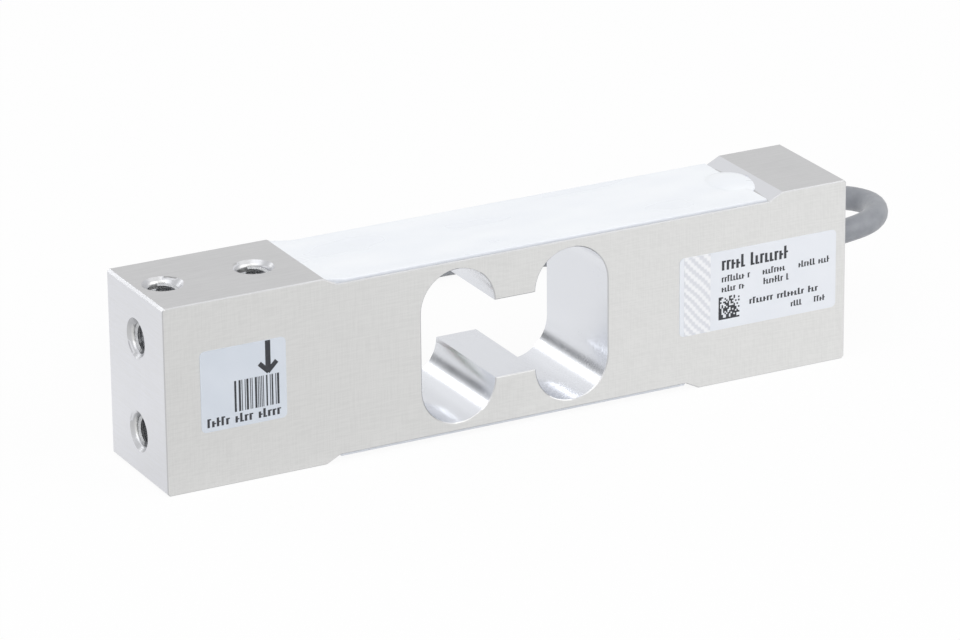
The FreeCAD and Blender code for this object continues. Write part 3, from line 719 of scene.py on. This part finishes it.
@dataclass
class Coatings:
    """White silicone over the upper and the lower gauges."""

    nodes: dict[str, bpy.types.Object]

    def build(self) -> None:
        """Dress both coatings, joined and smooth."""
        for side in ("top", "bottom"):
            merged_copy(self.nodes[f"{side}_coating"], f"silicone_{side}", SILICONE)


# The stickers.

@dataclass(frozen=True)
class Row:
    """One row of strokes: its place, its size, the seed that fixes its mix, and its strokes' pitch."""

    left: float
    base: float
    width: float
    tall: float
    seed: int
    pitch: float


@dataclass
class Print:
    """Marks of one sticker, as thin shapes that stand a hair proud of its face.

    Places are in millimetres from the sticker's lower left corner, seen from the front. In a row, each
    stroke stands with a short bar across it, and groups of strokes are set apart like words.
    """

    name: str
    node: str
    height: float = 0.02
    crossing: float = 0.004
    stroke_widths: tuple[float, float] = (0.5, 0.82)
    stroke_heights: Triple = (0.68, 0.72, 1.0)
    bar_levels: Triple = (0.0, 0.45, 0.84)
    bar_height: float = 0.14
    group: tuple[int, int] = (4, 8)
    mesh: bmesh.types.BMesh = field(default_factory=bmesh.new)

    def bar(self, left: float, base: float, width: float, tall: float, lean: float = 0.0,
            proud: float = 0.0) -> None:
        """Add a plain bar.

        Args:
            left: its left edge.
            base: its lower edge.
            width: its width.
            tall: its height.
            lean: how far it is turned about its middle, in degrees.
            proud: how much farther it stands out than a bar that it crosses.
        """
        height = self.height + proud
        low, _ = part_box(self.node)
        middle = Vector((low[0] + (left + width / 2) * MM, low[1] - height * MM / 2,
                         low[2] + (base + tall / 2) * MM))
        turn = Euler((0.0, -math.radians(lean), 0.0)).to_matrix().to_4x4()
        scale = Matrix.Diagonal((width * MM, height * MM, tall * MM, 1.0))
        bmesh.ops.create_cube(self.mesh, size=1.0, matrix=Matrix.Translation(middle) @ turn @ scale)

    def strokes(self, row: Row) -> None:
        """Fill a row with upright strokes of mixed height, in groups like words; they spell nothing.

        Args:
            row: the row.
        """
        draw = random.Random(row.seed)
        place, left_in_group = row.left, draw.randint(*self.group)
        while place + row.pitch < row.left + row.width:
            tall = row.tall * draw.choice(self.stroke_heights)
            self.bar(place, row.base, row.pitch * self.stroke_widths[0], tall)
            self.bar(place, row.base + tall * draw.choice(self.bar_levels), row.pitch * self.stroke_widths[1],
                     row.tall * self.bar_height, proud=self.crossing)
            place += row.pitch
            left_in_group -= 1
            if left_in_group == 0:
                place += row.pitch
                left_in_group = draw.randint(*self.group)

    def finish(self) -> bpy.types.Object:
        """Make the marks a piece."""
        return finish_piece(self.name, self.mesh, INK)


@dataclass
class Stickers:
    """The small sticker with the load arrow, and the large one with the rating rows.

    Places are in millimetres from the lower left corner of the sticker that carries the mark. The arrow's
    shaft and barb are each given as a left edge, a lower edge, a width and a height.
    """

    nodes: dict[str, bpy.types.Object]
    shaft: tuple[float, float, float, float] = (13.65, 10.5, 1.1, 5.9)
    barb: tuple[float, float, float, float] = (12.82, 10.5, 2.75, 0.95)
    barb_offset: float = 0.86
    barb_lean: float = 45.0
    pattern_seed: int = 11
    pattern_ends: tuple[float, float] = (7.0, 16.6)
    pattern_base: float = 3.1
    pattern_height: float = 6.3
    pattern_widths: tuple[float, ...] = (0.16, 0.16, 0.3, 0.42)
    pattern_gaps: tuple[float, ...] = (0.2, 0.2, 0.34, 0.5)
    serial_row: Row = Row(1.2, 0.9, 15.8, 1.8, 3, 0.98)
    rating_rows: tuple[Row, ...] = (
        Row(9.6, 12.4, 16.4, 2.7, 21, 1.1),
        Row(9.6, 9.9, 6.8, 1.35, 5, 0.66),
        Row(19.0, 9.9, 6.4, 1.35, 6, 0.66),
        Row(27.3, 9.9, 7.4, 1.35, 7, 0.66),
        Row(9.6, 7.8, 5.4, 1.35, 8, 0.66),
        Row(19.2, 7.8, 6.6, 1.35, 9, 0.66),
        Row(16.0, 4.2, 16.8, 1.35, 12, 0.8),
        Row(25.6, 1.9, 3.2, 1.2, 13, 0.66),
        Row(31.0, 1.9, 3.0, 1.2, 14, 0.66),
    )
    code_corner: tuple[float, float] = (8.9, 2.0)
    code_seed: int = 4
    code_cells: int = 14
    code_size: float = 4.8
    code_fill: float = 0.48

    def build(self) -> None:
        """Dress the films and print both stickers."""
        merged_copy(self.nodes["serial_label"], "serial_film", SERIAL_FILM)
        merged_copy(self.nodes["type_label"], "type_film", TYPE_FILM)
        FOIL.dress(self.nodes["type_label_foil"])
        self.load_arrow()
        self.serial_marks()
        self.rating_marks()
        self.square_code()

    def load_arrow(self) -> None:
        """Print the arrow that shows which way the load acts, its barbs a hair proud of its shaft."""
        arrow = Print("load_arrow", "serial_label")
        arrow.bar(*self.shaft)
        left, base, width, tall = self.barb
        for side in (-1, 1):
            arrow.bar(left + side * self.barb_offset, base, width, tall, lean=side * self.barb_lean,
                      proud=(2 + side) * arrow.crossing)
        arrow.finish()

    def serial_marks(self) -> None:
        """Print the bar pattern, which is random and encodes nothing, and the row under it."""
        marks = Print("serial_marks", "serial_label")
        draw = random.Random(self.pattern_seed)
        place, end = self.pattern_ends
        while place < end:
            width = draw.choice(self.pattern_widths)
            marks.bar(place, self.pattern_base, width, self.pattern_height)
            place += width + draw.choice(self.pattern_gaps)
        marks.strokes(self.serial_row)
        marks.finish()

    def rating_marks(self) -> None:
        """Print the rows of the large sticker: a tall one, two rows of ratings, and two short ones below."""
        rows = Print("rating_marks", "type_label")
        for row in self.rating_rows:
            rows.strokes(row)
        rows.finish()

    def square_code(self) -> None:
        """Print a square of scattered cells with two solid edges; it encodes nothing."""
        code = Print("square_code", "type_label")
        cell = self.code_size / self.code_cells
        left, base = self.code_corner
        draw = random.Random(self.code_seed)
        for column in range(self.code_cells):
            for row in range(self.code_cells):
                if column == 0 or row == 0 or draw.random() < self.code_fill:
                    code.bar(left + column * cell, base + row * cell, cell, cell)
        code.finish()


# The lead.

@dataclass
class Turn:
    """One stretch of the coil, between two angles seen from above."""

    start: float
    end: float
    radius: tuple[float, float]
    height: tuple[float, float]


@dataclass
class Lead:
    """The jacketed lead: its fold behind the beam's end, its run to the coil and the coil's turns."""

    nodes: dict[str, bpy.types.Object]
    diameter: float = 5.0
    length: float = 0.69
    centre: tuple[float, float] = (-27.5, 42.1)
    outer: float = 26.0
    step: float = 5.1
    step_degrees: float = 15.0
    route: tuple[Triple, ...] = (
        (75.0, 0.0, 21.6),
        (81.0, 0.0, 21.6),
        (90.4, 0.3, 22.9),
        (95.7, 9.5, 22.9),
        (90.3, 18.7, 22.5),
        (79.7, 18.9, 20.6),
        (68.6, 24.6, 15.6),
        (61.7, 35.1, 8.8),
        (60.0, 50.8, 2.5),
        (52.2, 61.8, 2.5),
        (39.5, 68.1, 2.5),
        (23.0, 69.6, 2.5),
        (5.5, 68.1, 2.5),
        (-9.5, 68.1, 2.5),
    )

    def turns(self) -> list[Turn]:
        """Lay out the coil: two turns side by side below, and two on top of them.

        Returns:
            The stretches in order, from the lead's straight run to its sleeve.
        """
        low, high = self.diameter / 2, self.diameter / 2 + self.step
        inner = self.outer - self.step
        return [
            Turn(90, 410, (self.outer, self.outer), (low, low)),
            Turn(410, 450, (self.outer, inner), (low, low)),
            Turn(450, 730, (inner, inner), (low, low)),
            Turn(730, 770, (inner, inner), (low, high)),
            Turn(770, 1050, (inner, inner), (high, high)),
            Turn(1050, 1090, (inner, self.outer), (high, high)),
            Turn(1090, 1335, (self.outer, self.outer), (high, high)),
        ]

    def over_coil(self, angle: float, grow: float) -> Triple:
        """Find the lead's middle at an angle of the coil.

        Args:
            angle: degrees wound so far, counted from the coil's +X side.
            grow: what the radius is multiplied by.

        Returns:
            The place in millimetres.
        """
        turn = next(t for t in self.turns() if angle <= t.end)
        share = (angle - turn.start) / (turn.end - turn.start)
        share = share * share * (3 - 2 * share)
        radius = grow * (turn.radius[0] + share * (turn.radius[1] - turn.radius[0]))
        height = turn.height[0] + share * (turn.height[1] - turn.height[0])
        bearing = math.radians(angle)
        x, y = self.centre
        return x + radius * math.cos(bearing), y + radius * math.sin(bearing), height

    def points(self) -> list[Triple]:
        """List the curve's control points: the route, then the coil's turns.

        Returns:
            The points in millimetres. Those of the turns stand out by as much as the curve cuts inside them.
        """
        first, last = self.turns()[0].start, self.turns()[-1].end
        grow = 1 / math.cos(math.radians(self.step_degrees / 2))
        count = round((last - first) / self.step_degrees)
        wound = [self.over_coil(first + (i + 0.5) * self.step_degrees, grow) for i in range(count)]
        return [*self.route, *wound, self.over_coil(last, 1.0)]

    def build(self) -> None:
        """Lay the lead and dress what is on its far end."""
        curve = bpy.data.curves.new("lead", "CURVE")
        curve.dimensions = "3D"
        curve.bevel_depth = self.diameter / 2 * MM
        curve.bevel_resolution = 8
        curve.resolution_u = 6
        curve.use_fill_caps = True
        spline = curve.splines.new("NURBS")
        spots = self.points()
        spline.points.add(len(spots) - 1)
        for point, spot in zip(spline.points, spots):
            point.co = (*[value * MM for value in spot], 1.0)
        spline.order_u = 3
        spline.use_endpoint_u = True
        piece = bpy.data.objects.new("lead", curve)
        bpy.context.scene.collection.objects.link(piece)
        JACKET.dress(piece)
        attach(piece, BODY)
        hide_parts("cable_run", "cable_coil")
        # The coil lies close behind the window, whose walls would otherwise mirror nothing but its grey.
        piece.visible_glossy = False
        self.dress_end()
        on_lead = [self.nodes["end_sleeve"], self.nodes["core_tips"]]
        on_lead += [self.nodes[f"end_core_{colour}"] for colour in CORE_SHADES]
        LOG.info("lead: %d control points", len(spots))

    def dress_end(self) -> None:
        """Give the sleeve, the cores and their tips their finishes, inside the beam too."""
        SLEEVE.dress(self.nodes["end_sleeve"])
        STRANDS.dress(self.nodes["core_tips"])
        for colour, (light, dark) in CORE_SHADES.items():
            finish = Extruded(f"pvc_core_{colour}", light, 0.4, shade=dark, mottle=1.2)
            finish.dress(self.nodes[f"core_{colour}"], self.nodes[f"end_core_{colour}"])


# The studio.

@dataclass(frozen=True)
class Lamp:
    """One soft square lamp that looks at the beam: its place and side in metres, its power in watts."""

    name: str
    place: Triple
    size: float
    power: float

    def build(self) -> None:
        """Hang the lamp."""
        data = bpy.data.lights.new(self.name, "AREA")
        data.size = self.size
        data.energy = self.power
        lamp = bpy.data.objects.new(self.name, data)
        lamp.location = self.place
        lamp.rotation_euler = (-Vector(self.place)).to_track_quat("-Z", "Y").to_euler()
        bpy.context.scene.collection.objects.link(lamp)


@dataclass
class Studio:
    """A pale floor, a white surround, soft lamps and the camera.

    Mirrored rays alone see a floor that is greyer in front of the beam and to its left, and a dark card
    behind it. They give the bores their streaks. Places and sizes are in metres, but for the paper's grain.
    """

    place: Triple = (-0.45898, -0.87562, 0.39422)
    turn: Triple = (69.161, 0.531, -27.805)
    lens: float = 201.7
    sensor: float = 36.0
    clip: tuple[float, float] = (0.05, 30.0)
    floor_size: float = 8.0
    floor_level: float = -0.00005
    floor_glow: float = 0.93
    paper: str = "#F4F4F4"
    paper_grain: float = 1.5
    paper_depth: float = 0.02
    surround_light: float = 0.66
    card: Triple = (-0.571, 0.876, 0.2)
    card_tone: str = "#3C3E42"
    card_angles: tuple[float, float] = (9.5, 3.0)
    lamps: tuple[Lamp, ...] = (
        Lamp("lamp_key", (-0.9, -0.7, 1.5), 1.6, 11.0),
        Lamp("lamp_fill", (1.1, -1.2, 0.9), 1.5, 9.0),
        Lamp("lamp_back", (-0.63, 1.4, 0.73), 0.25, 1.1),
    )

    def build(self) -> None:
        """Set up all of it."""
        self.camera()
        self.floor()
        self.surround()
        for lamp in self.lamps:
            lamp.build()

    def camera(self) -> None:
        """Place the long lens in front, to the left of and above the beam."""
        data = bpy.data.cameras.new("camera")
        data.sensor_width = self.sensor
        data.lens = self.lens
        data.clip_start, data.clip_end = self.clip
        camera = bpy.data.objects.new("camera", data)
        camera.location = self.place
        camera.rotation_euler = Euler([math.radians(angle) for angle in self.turn])
        bpy.context.scene.collection.objects.link(camera)
        bpy.context.scene.camera = camera
        bpy.context.scene.view_settings.view_transform = "Standard"

    def floor(self) -> None:
        """Lay the floor under the beam."""
        mesh = bmesh.new()
        bmesh.ops.create_grid(mesh, x_segments=2, y_segments=2, size=self.floor_size / 2,
                              matrix=Matrix.Translation((0.0, 0.0, self.floor_level)))
        data = bpy.data.meshes.new("floor")
        mesh.to_mesh(data)
        mesh.free()
        data.materials.append(self.floor_material())
        floor = bpy.data.objects.new("floor", data)
        bpy.context.scene.collection.objects.link(floor)

    def floor_material(self) -> bpy.types.Material:
        """Make paper that is white to the eye, holds the shadow, and is clear when seen from below.

        Returns:
            The material.
        """
        material = bpy.data.materials.new("paper_white")
        material.use_nodes = True
        tree = material.node_tree
        tree.nodes.clear()
        place = add_node(tree, "TexCoord").outputs["Object"]
        bump = add_node(tree, "Bump", {"Strength": 1.0, "Distance": self.paper_depth * MM,
                                       "Height": grain(tree, place, self.paper_grain)})
        paper = add_node(tree, "BsdfPrincipled", {
            "Base Color": self.paper, "Roughness": 0.9, "Specular IOR Level": 0.1, "Normal": bump})
        shown, mirrored = self.seen_by_eye(tree)
        tone = between(tree, mirrored, WHITE, self.mirrored_tone(tree, place), 0.0, 1.0)
        glow = add_node(tree, "Emission", {"Color": tone, "Strength": 1.0})
        share = add_node(tree, "Math", {0: shown, 1: self.floor_glow}, operation="MULTIPLY")
        above = add_node(tree, "MixShader", {0: share, 1: paper, 2: glow})
        under = add_node(tree, "NewGeometry").outputs["Backfacing"]
        clear = add_node(tree, "BsdfTransparent")
        add_node(tree, "OutputMaterial", {
            "Surface": add_node(tree, "MixShader", {0: under, 1: above, 2: clear})})
        return material

    def mirrored_tone(self, tree: Tree, place: Socket) -> Socket:
        """Make the grey that metal mirrors: white behind the beam and to its right, greyer elsewhere.

        Args:
            tree: the tree that gets the nodes.
            place: the coordinates.

        Returns:
            The socket with the grey.
        """
        spot = add_node(tree, "SeparateXYZ", {0: place})
        x, y = spot.outputs[:2]
        right = between(tree, x, 0.86, 1.0, -0.08, 0.09)
        behind = between(tree, y, 0.8, 1.0, -0.02, 0.03)
        left = between(tree, x, 0.1, 0.0, -0.14, -0.06)
        far = add_node(tree, "Math", {0: behind, 1: left}, operation="SUBTRACT")
        level = add_node(tree, "Math", {0: right, 1: far}, operation="MAXIMUM")
        return add_node(tree, "CombineColor", {0: level, 1: level, 2: level}).outputs[0]

    def seen_by_eye(self, tree: Tree) -> tuple[Node, Node]:
        """Tell rays that show a surface to the eye, straight or mirrored, from those that only light things.

        Args:
            tree: the tree that gets the nodes.

        Returns:
            The node that is 1 for every such ray, and the one that is 1 for mirrored rays alone.
        """
        path = add_node(tree, "LightPath").outputs
        mirrored = add_node(tree, "Math", {0: path["Is Glossy Ray"], 1: path["Is Transmission Ray"]},
                            operation="MAXIMUM")
        shown = add_node(tree, "Math", {0: path["Is Camera Ray"], 1: mirrored}, operation="MAXIMUM")
        return shown, mirrored

    def surround(self) -> None:
        """Light evenly from all round, and look plain white, but for a dark card that only metal mirrors."""
        world = bpy.data.worlds.new("surround")
        bpy.context.scene.world = world
        world.use_nodes = True
        tree = world.node_tree
        tree.nodes.clear()
        shown, mirrored = self.seen_by_eye(tree)
        heading = add_node(tree, "TexCoord").outputs["Generated"]
        near_card = add_node(tree, "VectorMath", {0: heading, 1: Vector(self.card).normalized()},
                             operation="DOT_PRODUCT").outputs["Value"]
        rim, middle = [math.cos(math.radians(angle)) for angle in self.card_angles]
        dark = add_node(tree, "Math", {0: between(tree, near_card, 0.0, 1.0, rim, middle), 1: mirrored},
                        operation="MULTIPLY")
        light = add_node(tree, "Background", {
            "Color": between(tree, dark, WHITE, self.card_tone, 0.0, 1.0),
            "Strength": between(tree, shown, self.surround_light, 1.0, 0.0, 1.0)})
        add_node(tree, "OutputWorld", {"Surface": light})


def main() -> None:
    """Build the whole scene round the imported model."""
    logging.basicConfig(level=logging.INFO, format="%(message)s")
    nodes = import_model()["nodes"]
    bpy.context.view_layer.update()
    for assembly in (Studio(), Lead(nodes), Beam(nodes), Coatings(nodes), Stickers(nodes)):
        LOG.info("building the %s", type(assembly).__name__.lower())
        assembly.build()


if __name__ == "__main__":
    main()
